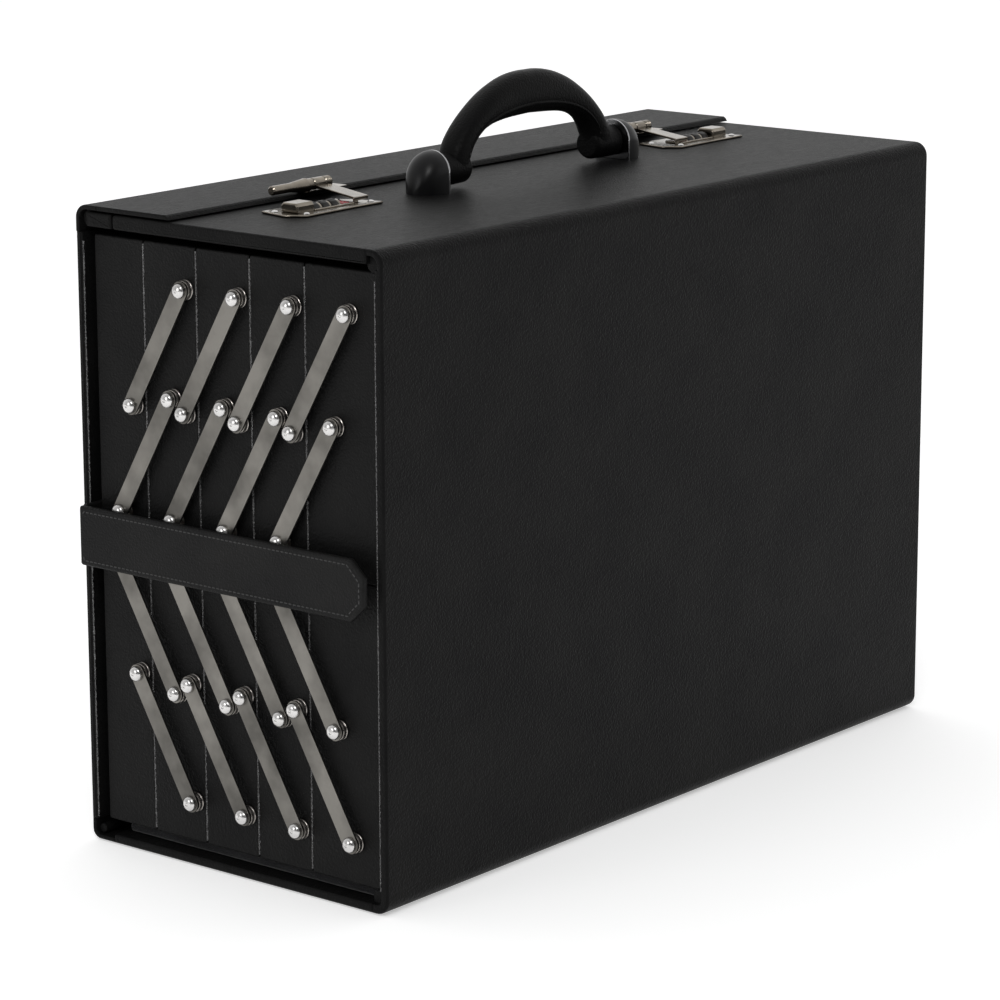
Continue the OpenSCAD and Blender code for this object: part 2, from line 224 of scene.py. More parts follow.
def bump(tree, shader, height, depth, strength=1.0, after=None):
    node = tree.nodes.new("ShaderNodeBump")
    node.inputs["Strength"].default_value = strength
    node.inputs["Distance"].default_value = depth
    tree.links.new(height, node.inputs["Height"])
    if after is not None:
        tree.links.new(after, node.inputs["Normal"])
    tree.links.new(node.outputs["Normal"], shader.inputs["Normal"])
    return node.outputs["Normal"]


def leatherette(name, shade=0.006, gloss=0.44, grain=0.00022, wrinkle=0.0003, shine=0.055):
    """Black embossed leatherette: small pebbles, fine creases that run along X, and a satin film."""
    material, tree, shader = new_material(name)
    places = object_places(tree, (1, 1, 1))
    creases = object_places(tree, (0.42, 1, 1))
    pebbles = cells(tree, places, 950, "SMOOTH_F1")
    fine = noise(tree, places, 1500, 2.0)
    lines = noise(tree, creases, 330, 4.0, 0.6, 1.2)
    soft = noise(tree, places, 26, 3.0)
    dark = tuple(shade * k for k in (0.82, 0.82, 0.84))
    light = tuple(shade * k for k in (1.25, 1.24, 1.22))
    tree.links.new(ramp(tree, soft, [(0.35, dark), (0.65, light)]), shader.inputs["Base Color"])
    rough = maths(tree, "MULTIPLY_ADD", lines, 0.16)
    rough.node.inputs[2].default_value = gloss - 0.08
    tree.links.new(rough, shader.inputs["Roughness"])
    shader.inputs["Specular IOR Level"].default_value = shine
    first = bump(tree, shader, lines, wrinkle)
    height = maths(tree, "ADD", maths(tree, "MULTIPLY", pebbles, 1.4), maths(tree, "MULTIPLY", fine, 0.5))
    bump(tree, shader, height, grain, after=first)
    return material


def velvet(name, shade):
    """Short dark pile: a soft sheen and patches where it has been brushed."""
    material, tree, shader = new_material(name)
    places = object_places(tree, (1, 1, 1))
    brushed = noise(tree, places, 38, 3.0)
    pile = noise(tree, places, 2600, 2.0)
    dark = tuple(shade * k for k in (0.7, 0.7, 0.78))
    light = tuple(shade * k for k in (1.4, 1.4, 1.5))
    tree.links.new(ramp(tree, brushed, [(0.35, dark), (0.7, light)]), shader.inputs["Base Color"])
    shader.inputs["Roughness"].default_value = 0.95
    shader.inputs["Sheen Weight"].default_value = 0.5
    shader.inputs["Sheen Roughness"].default_value = 0.4
    shader.inputs["Specular IOR Level"].default_value = 0.15
    bump(tree, shader, pile, 0.0004)
    return material


def metal(name, colour, roughness, brushed=None, tarnish=0.25, patch=90):
    """Metal with a little colour variation. brushed gives the scale of scratches along each axis."""
    material, tree, shader = new_material(name)
    shader.inputs["Metallic"].default_value = 1.0
    places = object_places(tree, (1, 1, 1))
    patches = noise(tree, places, patch, 4.0)
    dark = tuple(k * (1 - tarnish) for k in colour)
    tree.links.new(ramp(tree, patches, [(0.3, dark), (0.62, colour)]), shader.inputs["Base Color"])
    if brushed is None:
        height = noise(tree, places, 700, 3.0)
        depth = 0.00002
    else:
        height = noise(tree, object_places(tree, brushed), 1.0, 2.0)
        depth = 0.00005
    rough = maths(tree, "MULTIPLY_ADD", height, 0.2)
    rough.node.inputs[2].default_value = roughness - 0.1
    tree.links.new(rough, shader.inputs["Roughness"])
    bump(tree, shader, height, depth)
    return material


def gloss_plastic(name, colour, roughness=0.16):
    material, tree, shader = new_material(name)
    places = object_places(tree, (1, 1, 1))
    smudge = noise(tree, places, 120, 3.0)
    shader.inputs["Base Color"].default_value = (*colour, 1)
    shader.inputs["Specular IOR Level"].default_value = 0.25
    rough = maths(tree, "MULTIPLY_ADD", smudge, 0.14)
    rough.node.inputs[2].default_value = roughness - 0.05
    tree.links.new(rough, shader.inputs["Roughness"])
    bump(tree, shader, smudge, 0.00003)
    return material


make_camera()
make_studio()

LEATHER = leatherette("leatherette")
LEATHER_END = leatherette("leatherette_ends", shade=0.006, gloss=0.42, shine=0.08)
LEATHER_TRIM = leatherette("leatherette_trim", shade=0.009, gloss=0.46, wrinkle=0.00015, shine=0.09)
LEATHER_GRIP = leatherette("leatherette_grip", shade=0.0055, gloss=0.4, grain=0.00016, wrinkle=0.0001,
                           shine=0.06)
# The bead leatherette is several times lighter than the rest: painted glints along the seams, on top of real
# gloss from its low roughness and high specular level.
BEAD_PAINTED_GLINT = leatherette("leatherette_bead", shade=0.05, gloss=0.14, grain=0.0012, shine=1.0)
THREAD = plain_material("thread", (0.026, 0.026, 0.026), 0.5)
VELVET = velvet("velvet", 0.02)
STEEL = metal("arm_steel", (0.215, 0.205, 0.187), 0.34, brushed=(2000, 300, 300), tarnish=0.62, patch=26)
RIVET = metal("rivet_nickel", (0.68, 0.67, 0.66), 0.24, tarnish=0.12)
WASHER = metal("washer_nickel", (0.6, 0.56, 0.52), 0.3, tarnish=0.3)
NICKEL = metal("lock_nickel", (0.27, 0.24, 0.2), 0.2, tarnish=0.35)
CHROME = metal("chrome", (0.40, 0.40, 0.41), 0.15, tarnish=0.15)
BLACK_PLASTIC = gloss_plastic("handle_plastic", (0.004, 0.004, 0.0045), 0.34)
DIAL_BLACK = gloss_plastic("dial_black", (0.012, 0.011, 0.01), 0.4)
RED = gloss_plastic("marker_red", (0.3, 0.006, 0.014), 0.25)


# ---------------------------------------------------------------- mesh building

def arc(cy, cz, radius, start, end, steps=8):
    """Points on an arc, with angles in degrees from the first axis towards the second."""
    angles = [math.radians(start + (end - start) * k / steps) for k in range(steps + 1)]
    return [(cy + radius * math.cos(a), cz + radius * math.sin(a)) for a in angles]


def rounded(low, high, radii, steps=4):
    """A rectangle with rounded corners, anticlockwise from the low corner; radii in the same order."""
    r = list(radii) if isinstance(radii, (list, tuple)) else [radii] * 4
    (u0, v0), (u1, v1) = low, high
    corners = [(u0 + r[0], v0 + r[0], 180), (u1 - r[1], v0 + r[1], 270), (u1 - r[2], v1 - r[2], 0),
               (u0 + r[3], v1 - r[3], 90)]
    points = []
    for (u, v, start), radius in zip(corners, r):
        points += arc(u, v, radius, start, start + 90, steps) if radius else [(u, v)]
    return points


def inset(outline, depth, butts):
    """The outline moved inwards by depth, except its butt edges, which keep their line."""
    count = len(outline)
    normals = []
    for k in range(count):
        a, b = Vector(outline[k]), Vector(outline[(k + 1) % count])
        along = (b - a).normalized() if (b - a).length > 1e-9 else Vector((1, 0))
        normals.append(Vector((-along.y, along.x)))
    moved = []
    for k in range(count):
        before, after = normals[k - 1], normals[k]
        d0 = 0 if (k - 1) % count in butts else depth
        d1 = 0 if k in butts else depth
        turn = before.x * after.y - before.y * after.x
        if abs(turn) < 0.05:
            shift = (before + after).normalized() * max(d0, d1)
        else:
            shift = Vector(((d0 * after.y - d1 * before.y) / turn, (d1 * before.x - d0 * after.x) / turn))
        moved.append((outline[k][0] + shift.x, outline[k][1] + shift.y))
    return moved


def place(axis, u, v, w):
    """A point of an outline (u, v) at w along the axis."""
    if axis == "x":
        return (w, u, v)
    if axis == "y":
        return (v, w, u)
    return (u, v, w)


def make_object(name, verts, faces, material, smooth=True):
    mesh = bpy.data.meshes.new(name)
    mesh.from_pydata([tuple(v) for v in verts], [], faces)
    mesh.validate()
    tidy = bmesh.new()
    tidy.from_mesh(mesh)
    bmesh.ops.recalc_face_normals(tidy, faces=tidy.faces)
    tidy.to_mesh(mesh)
    tidy.free()
    mesh.materials.append(material)
    piece = bpy.data.objects.new(name, mesh)
    bpy.context.scene.collection.objects.link(piece)
    if smooth:
        shade(piece)
    return piece


def shade(piece, angle=40):
    mesh = piece.data
    for polygon in mesh.polygons:
        polygon.use_smooth = True
    mesh.set_sharp_from_angle(angle=math.radians(angle))
    weighted = piece.modifiers.new("weighted", "WEIGHTED_NORMAL")
    weighted.keep_sharp = True


def tube_faces(rings, sides):
    """Faces of a closed tube: a wall between each two rings of points, and a cap at each end."""
    faces = []
    for k in range(rings - 1):
        for j in range(sides):
            a, b = k * sides + j, k * sides + (j + 1) % sides
            faces.append((a, b, b + sides, a + sides))
    last = (rings - 1) * sides
    return faces + [tuple(range(sides)), tuple(range(last, last + sides))]


def bar_mesh(outline, w0, w1, axis, edge=0.0, butts=(), steps=3, cuts=1):
    """Vertices and faces of an outline run along an axis, its end caps' edges rounded by edge."""
    turns = [math.pi / 2 * k / steps for k in range(steps + 1)]
    rings = [(w0 + edge * (1 - math.cos(a)), edge * (1 - math.sin(a))) for a in turns] if edge else [(w0, 0)]
    middle = [(w0 + (w1 - w0) * k / cuts, 0) for k in range(1, cuts)]
    mirrored = [(w1 - (w - w0), d) for w, d in reversed(rings)]
    rings = rings + middle + mirrored
    verts = []
    for w, depth in rings:
        loop = inset(outline, depth, butts) if depth > 1e-7 else outline
        verts += [place(axis, u, v, w) for u, v in loop]
    return verts, tube_faces(len(rings), len(outline))


def bar(name, outline, w0, w1, axis, material, edge=0.0, butts=(), steps=3, cuts=1):
    verts, faces = bar_mesh(outline, w0, w1, axis, edge, butts, steps, cuts)
    return make_object(name, verts, faces, material)


def slab(name, low, high, edge, material, steps=3):
    """A box with every edge rounded."""
    outline = rounded((low[1], low[2]), (high[1], high[2]), edge, steps)
    return bar(name, outline, low[0], high[0], "x", material, edge, steps=steps)


def strip(name, path, thickness, w0, w1, material, edge=1.2 * MM, cuts=1):
    """A band of even thickness whose outer face follows path (y, z), outside on the path's right."""
    inner = []
    count = len(path)
    for k in range(count):
        a, b = Vector(path[max(k - 1, 0)]), Vector(path[min(k + 1, count - 1)])
        along = (b - a).normalized()
        inner.append((path[k][0] - along.y * thickness, path[k][1] + along.x * thickness))
    outline = list(path) + inner[::-1]
    butts = (count - 1, 2 * count - 1)
    return bar(name, outline, w0, w1, "x", material, edge, butts, cuts=cuts)


def lathe(profile, centre, axis="x", sides=32, sign=1):
    """Vertices and faces of a profile of (along, radius) points turned about an axis."""
    verts = []
    for along, radius in profile:
        for k in range(sides):
            a = 2 * math.pi * k / sides
            u, v = radius * math.cos(a), radius * math.sin(a)
            w = sign * along
            point = {"x": (w, u, v), "y": (u, w, v), "z": (u, v, w)}[axis]
            verts.append(tuple(c + p for c, p in zip(centre, point)))
    return verts, tube_faces(len(profile), sides)


def combine(parts):
    """Several (vertices, faces) lists as one."""
    verts, faces = [], []
    for some_verts, some_faces in parts:
        shift = len(verts)
        verts += list(some_verts)
        faces += [tuple(k + shift for k in f) for f in some_faces]
    return verts, faces


def settle(piece, body, slot, *nodes):
    """The piece rides on a body and stands for CAD nodes; slot is not used."""
    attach(piece, body)
    if nodes:
        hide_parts(*nodes)
    return piece


def mirror_x(verts):
    return [(-x, y, z) for x, y, z in verts]


def stitches(name, route, outward, pitch=3.0 * MM, length=2.1 * MM, thick=0.42 * MM):
    """Short raised threads along a route of points; outward(point) gives the face's normal there."""
    verts, faces = [], []
    travelled = 0.0
    due = pitch / 2
    for k in range(len(route) - 1):
        a, b = Vector(route[k]), Vector(route[k + 1])
        step = (b - a).length
        if step < 1e-9:
            continue
        along = (b - a) / step
        while due <= travelled + step:
            centre = a + along * (due - travelled)
            up = Vector(outward(centre)).normalized()
            side = along.cross(up).normalized()
            start = len(verts)
            for share, swell in ((-0.5, 0.35), (-0.3, 0.9), (0.3, 0.9), (0.5, 0.35)):
                for j in range(6):
                    angle = 2 * math.pi * j / 6
                    verts.append(centre + along * (length * share)
                                 + (side * math.cos(angle) + up * math.sin(angle)) * (thick * swell))
            faces += [tuple(start + j for j in face) for face in tube_faces(4, 6)]
            due += pitch
        travelled += step
    return make_object(name, verts, faces, THREAD)


# ---------------------------------------------------------------- boards and living hinges

EDGE_R = 8 * MM
BOARD_T = FRONT_HIGH.y - FRONT_LOW.y
CAP = 1.4 * MM
THIN_CAP = 0.7 * MM
FRONT_CORE_R = 4.4 * MM
FRONT_SKIN_T = 3.6 * MM
FOOT_SKIN_T = 2.6 * MM
PAD_EDGE = 1.6 * MM
LIP_SLOPE = 2.5 * MM
LIP_EASE = 0.9 * MM
ROLL_INSET = 3 * MM


def roll_mesh(y, z, radius):
    """A round core inside a bent edge, set in a little from the ends."""
    return bar_mesh(arc(y, z, radius, 0, 345, 23), -HALF_W + ROLL_INSET, HALF_W - ROLL_INSET, "x", 0.8 * MM)


def build_front():
    """The front board with its rounded lower edge, and the hinge strip up to the top flap."""
    corner_y = FRONT_Y + EDGE_R
    low = [(BOTTOM_LOW.y, 0.0)] + arc(corner_y, EDGE_R, EDGE_R, 270, 180, 10) + [(FRONT_Y, FRONT_HIGH.z)]
    front = strip("front_cover", low[::-1], BOARD_T, -HALF_W, HALF_W, LEATHER, CAP)
    settle(front, "case", "leatherette", "front_board", "edge_rolls")
    low_roll = roll_mesh(corner_y, EDGE_R, FRONT_CORE_R)
    high_roll = roll_mesh(corner_y, CASE_H - EDGE_R, FRONT_CORE_R)
    settle(make_object("front_edge_cores", *combine([low_roll, high_roll]), LEATHER), "case", "leatherette")
    high = ([(FRONT_Y, FRONT_HIGH.z)] + arc(corner_y, CASE_H - EDGE_R, EDGE_R, 180, 90, 10)
            + [(TOP_LOW.y, CASE_H)])
    hinge = strip("front_hinge", high[::-1], FRONT_SKIN_T, -HALF_W, HALF_W, LEATHER, CAP)
    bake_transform(hinge)


def build_bottom():
    """The bottom board, its velvet, and the hinge strip round to the back cover."""
    inner_edge = 1.5 * MM
    outline = rounded((BOTTOM_LOW.y, BOTTOM_LOW.z), (BOTTOM_HIGH.y, BOTTOM_HIGH.z),
                      [0, 0, inner_edge, inner_edge])
    bottom = bar("bottom_cover", outline, -HALF_W, HALF_W, "x", LEATHER, CAP)
    settle(bottom, "case", "leatherette", "bottom_board")
    axis = joint_yz("back_cover_hinge")
    radius = REAR_Y - axis.x
    core_r = radius - FOOT_SKIN_T - 0.1 * MM
    core = make_object("rear_edge_core", *roll_mesh(axis.x, axis.y, core_r), LEATHER)
    settle(core, "case", "leatherette")
    path = ([(BOTTOM_HIGH.y - 0.2 * MM, 0.0)] + arc(axis.x, axis.y, radius, 270, 360, 10)
            + [(REAR_Y, BACK_LOW.z)])
    hinge = strip("rear_bottom_hinge", path, FOOT_SKIN_T, -HALF_W, HALF_W, LEATHER, CAP)
    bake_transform(hinge)
    low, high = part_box("bottom_pad")
    settle(slab("bottom_lining", low, high, PAD_EDGE, VELVET), "case", "velvet", "bottom_pad")


def build_top():
    outline = rounded((TOP_LOW.y, TOP_LOW.z), (TOP_HIGH.y, TOP_HIGH.z), [1 * MM, 2 * MM, 2 * MM, 0])
    top = bar("top_cover", outline, -HALF_W, HALF_W, "x", LEATHER, CAP)
    settle(top, "top_flap", "leatherette", "top_board")


def build_lip():
    """The lip with its sloping front edge, and the hinge strip round to the back cover."""
    outline = [(LIP_LOW.y, LIP_LOW.z), (LIP_HIGH.y, LIP_LOW.z), (LIP_HIGH.y, LIP_HIGH.z),
               (LIP_LOW.y + LIP_SLOPE, LIP_HIGH.z), (LIP_LOW.y + LIP_SLOPE / 2, LIP_HIGH.z - LIP_EASE)]
    lip = bar("lip_cover", outline, -HALF_W, HALF_W, "x", LEATHER, THIN_CAP)
    settle(lip, "lip", "leatherette", "lip_board")
    centre = joint_yz("lip_hinge")
    radius = LIP_HIGH.z - centre.y
    path = ([(REAR_Y, BACK_HIGH.z)] + arc(centre.x, centre.y, radius, 0, 90, 12) + [(LIP_HIGH.y, LIP_HIGH.z)])
    hinge = strip("rear_top_hinge", path, LIP_HIGH.z - LIP_LOW.z, -HALF_W, HALF_W, LEATHER, THIN_CAP)
    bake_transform(hinge)


def build_back():
    """The back cover, its velvet, and the core and filler inside its upper edge."""
    outline = rounded((BACK_LOW.y, BACK_LOW.z), (BACK_HIGH.y, BACK_HIGH.z), [1 * MM, 0, 0, 1 * MM])
    back = bar("back_cover", outline, -HALF_W, HALF_W, "x", LEATHER, CAP)
    settle(back, "back_cover", "leatherette", "back_board")
    centre = joint_yz("lip_hinge")
    rail = roll_mesh(centre.x, centre.y, LIP_LOW.z - centre.y - 0.2 * MM)
    outline = rounded((RAIL_LOW.y, TOP_LOW.z), (centre.x, TOP_HIGH.z), 1.2 * MM)
    filler = bar_mesh(outline, -HALF_W, HALF_W, "x", CAP)
    settle(make_object("cover_rail_core", *combine([rail, filler]), LEATHER), "back_cover", "leatherette",
           "cover_rail")
    low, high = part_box("back_pad")
    settle(slab("back_lining", low, high, PAD_EDGE, VELVET), "back_cover", "velvet", "back_pad")


# ---------------------------------------------------------------- trays

TRAY_WALL = 5 * MM
TRAY_FLOOR = 2.4 * MM
TRAY_EDGE = 1.1 * MM
BEAD_R = 0.62 * MM
EDGE_BEAD_R = 0.5 * MM
COLUMNS = 3
ROWS = 3


def tray_shell(low, high, wall, floor, edge):
    """An open box, floor to the front, with rounded edges."""
    mesh = bmesh.new()
    bmesh.ops.create_cube(mesh, size=1.0)
    size = high - low
    for v in mesh.verts:
        v.co = Vector([low[k] + (v.co[k] + 0.5) * size[k] for k in range(3)])
    mouth = max(mesh.faces, key=lambda f: f.calc_center_median().y)
    bmesh.ops.inset_region(mesh, faces=[mouth], thickness=wall, use_even_offset=True)
    pushed = bmesh.ops.extrude_face_region(mesh, geom=[mouth])
    bmesh.ops.translate(mesh, verts=[v for v in pushed["geom"] if isinstance(v, bmesh.types.BMVert)],
                        vec=Vector((0, -(size.y - floor), 0)))
    bmesh.ops.delete(mesh, geom=[mouth], context="FACES_ONLY")
    bmesh.ops.bevel(mesh, geom=list(mesh.edges), offset=edge, segments=3, affect="EDGES", profile=0.5,
                    clamp_overlap=True)
    return mesh


def build_tray(half, number, body):
    node = f"tray_{half}_{number}"
    low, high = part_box(node)
    mesh = tray_shell(low, high, TRAY_WALL, TRAY_FLOOR, TRAY_EDGE)
    bmesh.ops.recalc_face_normals(mesh, faces=mesh.faces)
    data = bpy.data.meshes.new(node + "_shell")
    mesh.to_mesh(data)
    mesh.free()
    data.materials.append(LEATHER_END)
    shell = bpy.data.objects.new(node + "_shell", data)
    bpy.context.scene.collection.objects.link(shell)
    shade(shell)
    settle(shell, body, "leatherette", node)


def build_beads():
    """The glossy cut edge of the leatherette along each seam between layers, at both ends; its lighter colour
    is a painted glint.
    """
    for number in range(2, LAYERS + 1):
        uppers, lowers = [], []
        low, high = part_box(f"tray_upper_{number}")
        for side in (-1, 1):
            seam = arc(low.y - 0.1 * MM, side * (high.x - 0.5 * MM), BEAD_R, 0, 330, 11)
            verts, faces = bar_mesh([(x, y) for y, x in seam], low.z + 2 * MM, high.z - 2 * MM, "z", cuts=3)
            uppers.append((verts, faces))
            lowers.append(([(x, y, CASE_H - z) for x, y, z in verts], faces))
        upper = make_object(f"seam_beads_upper_{number}", *combine(uppers), BEAD_PAINTED_GLINT)
        settle(upper, f"upper_tray_{number}", "leatherette_trim")
        settle(make_object(f"seam_beads_lower_{number}", *combine(lowers), BEAD_PAINTED_GLINT), "case", "leatherette_trim")
    build_edge_bead("front", "case", FRONT_Y + BOARD_T + 0.2 * MM)
    build_edge_bead("back", "back_cover", BACK_LOW.y - 0.2 * MM)


def build_edge_bead(name, body, y):
    """The folded edge of the leatherette along a board's inner face, at both ends; its lighter colour is a
    painted glint.
    """
    parts = []
    for side in (-1, 1):
        seam = arc(side * (HALF_W - 0.9 * MM), y, EDGE_BEAD_R, 0, 330, 11)
        parts.append(bar_mesh(seam, 13 * MM, CASE_H - 16 * MM, "z", cuts=3))
    settle(make_object(f"edge_bead_{name}", *combine(parts), BEAD_PAINTED_GLINT), body, "leatherette_trim")


def lining_mesh(low, high):
    """A velvet floor, padded dividers between the columns and rounded ridges between the rows."""
    base, half, crown, ridge = 1.6 * MM, 1.5 * MM, 1.4 * MM, 8 * MM
    floor = rounded((low.y, low.z), (low.y + base, high.z), 0.5 * MM)
    parts = [bar_mesh(floor, low.x, high.x, "x", 0.5 * MM)]
    for k in range(1, COLUMNS):
        x = low.x + (high.x - low.x) * k / COLUMNS
        outline = rounded((x - half, low.y), (x + half, high.y), [0, 0, crown, crown])
        parts.append(bar_mesh(outline, low.z, high.z, "z", 0.4 * MM))
    for k in range(1, ROWS):
        z = low.z + (high.z - low.z) * k / ROWS
        outline = rounded((low.y, z - half), (low.y + ridge, z + half), [0, crown, crown, 0])
        parts.append(bar_mesh(outline, low.x, high.x, "x", 0.4 * MM))
    return combine(parts)


def build_trays():
    lower_linings = []
    for number in range(1, LAYERS + 1):
        upper_body = "case" if number == 1 else f"upper_tray_{number}"
        build_tray("upper", number, upper_body)
        build_tray("lower", number, "case")
        verts, faces = lining_mesh(*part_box(f"insert_upper_{number}"))
        piece = make_object(f"lining_upper_{number}", verts, faces, VELVET)
        settle(piece, upper_body, "velvet", f"insert_upper_{number}")
        lower_linings.append(([(x, y, CASE_H - z) for x, y, z in verts], faces))
    piece = make_object("linings_lower", *combine(lower_linings), VELVET)
    settle(piece, "case", "velvet", "inserts_lower")


# ---------------------------------------------------------------- arms, washers and rivets

ARM_W = 10.2 * MM
ARM_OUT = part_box("arms_outer_1")[1].x
ARM_IN = ARM_OUT - 1.3 * MM
TRAY_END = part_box("tray_upper_1")[1].x
WASHER_R = 5.35 * MM
SHANK_R = 1.7 * MM
HEAD_R = 4.2 * MM
HEAD_RIM = 0.5 * MM
HEAD_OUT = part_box("rivets_upper_1")[1].x


def arm_pivots(kind, gap):
    """The near and far pivots (y, z) of one gap's arms, from their node's box."""
    low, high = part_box(f"arms_{kind}_{gap}")
    half = ARM_W / 2
    return Vector((low.y + half, high.z - half)), Vector((high.y - half, low.z + half))


def arm_mesh(near, far, side):
    """A flat bar with round ends between two pivots, its edges eased."""
    along = (far - near).normalized()
    angle = math.degrees(math.atan2(along.y, along.x))
    outline = (arc(near.x, near.y, ARM_W / 2, angle + 90, angle + 270, 12)
               + arc(far.x, far.y, ARM_W / 2, angle - 90, angle + 90, 12))
    verts, faces = bar_mesh(outline, ARM_IN, ARM_OUT, "x", 0.28 * MM, steps=2)
    return (verts if side > 0 else mirror_x(verts)), faces


def lower(point):
    """The same place in the lower half."""
    return Vector((point.x, CASE_H - point.y))


def build_arms():
    lower_arms = []
    for gap in range(1, LAYERS):
        for kind in ("outer", "inner"):
            near, far = arm_pivots(kind, gap)
            both = combine([arm_mesh(near, far, side) for side in (-1, 1)])
            piece = make_object(f"{kind}_arms_{gap}", *both, STEEL)
            settle(piece, f"{kind}_arms_{gap}", "arm_steel", f"arms_{kind}_{gap}")
            lower_arms += [arm_mesh(lower(near), lower(far), side) for side in (-1, 1)]
    settle(make_object("lower_arms", *combine(lower_arms), STEEL), "case", "arm_steel", "arms_lower")


def washer_mesh(spot, side):
    """A thick spacer washer with a groove and an eased outer rim."""
    r = WASHER_R
    out = ARM_IN - 0.2 * MM
    profile = [(TRAY_END, r - 0.5 * MM), (TRAY_END + 0.4 * MM, r), (TRAY_END + 1.1 * MM, r),
               (TRAY_END + 1.3 * MM, r - 0.2 * MM), (TRAY_END + 1.6 * MM, r), (out - 1 * MM, r),
               (out - 0.3 * MM, r - 0.3 * MM), (out, r - 0.9 * MM)]
    return lathe(profile, (0, spot.x, spot.y), "x", 32, side)


def head_mesh(spot, side):
    """A domed rivet head with a shallow dimple, and its shank."""
    base = ARM_OUT + 0.15 * MM
    rise = HEAD_OUT - base
    dome = []
    for k in range(9):
        a = math.pi / 2 * k / 8
        along = base + HEAD_RIM + (rise - HEAD_RIM) * math.sin(a) ** 0.9
        dome.append((along, max(HEAD_R * math.cos(a), 0.9 * MM)))
    dimple = [(HEAD_OUT - 0.35 * MM, 0.5 * MM)]
    profile = [(ARM_IN, SHANK_R), (base, SHANK_R), (base, HEAD_R - 0.2 * MM)] + dome + dimple
    return lathe(profile, (0, spot.x, spot.y), "x", 32, side)


def build_rivets():
    lower_spots = []
    for number in range(1, LAYERS + 1):
        spots = []
        for kind in ("outer", "inner"):
            if number < LAYERS:
                spots.append(arm_pivots(kind, number)[0])
            if number > 1:
                spots.append(arm_pivots(kind, number - 1)[1])
        body = "case" if number == 1 else f"upper_tray_{number}"
        make_rivets(f"upper_{number}", spots, body, f"rivets_upper_{number}")
        lower_spots += [lower(s) for s in spots]
    make_rivets("lower", lower_spots, "case", "rivets_lower")


def make_rivets(name, spots, body, node):
    pairs = [(spot, side) for spot in spots for side in (-1, 1)]
    heads = make_object(f"rivet_heads_{name}", *combine([head_mesh(*p) for p in pairs]), RIVET)
    settle(heads, body, "rivet_nickel", node)
    washers = make_object(f"washers_{name}", *combine([washer_mesh(*p) for p in pairs]), WASHER)
    settle(washers, body, "rivet_nickel")


# ---------------------------------------------------------------- straps

CHAMFER = 9 * MM
SEAM_CHAMFER = 8.2 * MM
SEAM_INSET = 3 * MM
TAB_IN = 236 * MM


def strap_outline(low, high, chamfer, grow=0.0):
    """The strap seen from the end of the case: a square root and a tip with two cut corners."""
    y0, y1, z0, z1 = low.y + grow, high.y - grow, low.z + grow, high.z - grow
    r = 1.5 * MM
    root = arc(y1 - r, z0 + r, r, 270, 360, 3) + arc(y1 - r, z1 - r, r, 0, 90, 3)
    return root + [(y0 + chamfer, z1), (y0, z1 - chamfer), (y0, z0 + chamfer), (y0 + chamfer, z0)]


def build_strap(side):
    name = "left" if side < 0 else "right"
    low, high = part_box(f"strap_{name}")
    outline = strap_outline(low, high, CHAMFER)
    x0, x1 = sorted((abs(low.x), abs(high.x)))
    verts, faces = bar_mesh(outline, x0, x1, "x", 1.5 * MM, steps=4, cuts=2)
    if side < 0:
        verts = mirror_x(verts)
    band = make_object(f"strap_band_{name}", verts, faces, LEATHER_TRIM)
    settle(band, f"{name}_strap", "leatherette_trim", f"strap_{name}")
    seam = strap_outline(low, high, SEAM_CHAMFER, SEAM_INSET)
    surface = side * (x1 + 0.02 * MM)
    route = [(surface, y, z) for y, z in seam[4:] + seam[:4]]
    threads = stitches(f"strap_stitches_{name}", route, lambda _: (side, 0, 0))
    settle(threads, f"{name}_strap", "leatherette_trim")


def build_strap_roots():
    low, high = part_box("strap_roots")
    verts, faces = bar_mesh(rounded((low.y, low.z), (high.y, high.z), 1.2 * MM), TAB_IN, high.x, "x", 1 * MM)
    both = combine([(verts, faces), (mirror_x(verts), faces)])
    settle(make_object("strap_tabs", *both, LEATHER_TRIM), "back_cover", "leatherette_trim", "strap_roots")


# ---------------------------------------------------------------- handle

GRIP_LOW, GRIP_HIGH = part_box("handle_grip")
PIVOT = joint_yz("handle_tilt")
FOOT_W = 24 * MM
GRIP_SHOULDER = 8 * MM
INNER_RISE = 24 * MM
GRIP_RINGS = 72
GRIP_WIDE = (GRIP_HIGH.y - GRIP_LOW.y) / 2 * 0.97
SEAM_ANGLE = math.radians(180 - 62)
FLANGE_T = 1.5 * MM
PIN_LONG = 14 * MM
PIN_R = 2.5 * MM


def arch(across, up, power, angle):
    """A rounded arch: power 2 is an ellipse, less is more pointed and more is squarer."""
    c, s = math.cos(angle), math.sin(angle)
    return Vector((math.copysign(across * abs(c) ** (2 / power), c), up * s ** (2 / power)))


def grip_line(t):
    """The grip's middle line (x, z) and half depth at t, from 0 at one foot to 1 at the other."""
    side = GRIP_HIGH.x
    angle = max(math.pi * (1 - t), 0)
    outer = arch(side - GRIP_SHOULDER, GRIP_HIGH.z - PIVOT.y, 1.75, angle)
    inner = arch(side - FOOT_W, INNER_RISE, 2.6, angle)
    middle = (outer + inner) / 2
    return middle.x, PIVOT.y + middle.y, (outer - inner).length / 2


def grip_section(angle, deep, wide):
    """A point on the grip's section, which is a little squarer than an ellipse."""
    power = 2.5
    c, s = math.cos(angle), math.sin(angle)
    radius = (abs(c) ** power + abs(s) ** power) ** (-1 / power)
    return deep * radius * c, wide * radius * s


def grip_frame(t, step=0.004):
    """The middle of the grip at t, the direction outwards from the arch, and the half depth."""
    x0, z0, _ = grip_line(max(t - step, 0))
    x1, z1, _ = grip_line(min(t + step, 1))
    along = Vector((x1 - x0, 0, z1 - z0)).normalized()
    x, z, half = grip_line(t)
    out = Vector((-along.z, 0, along.x))
    return Vector((x, PIVOT.x, z)), out, half


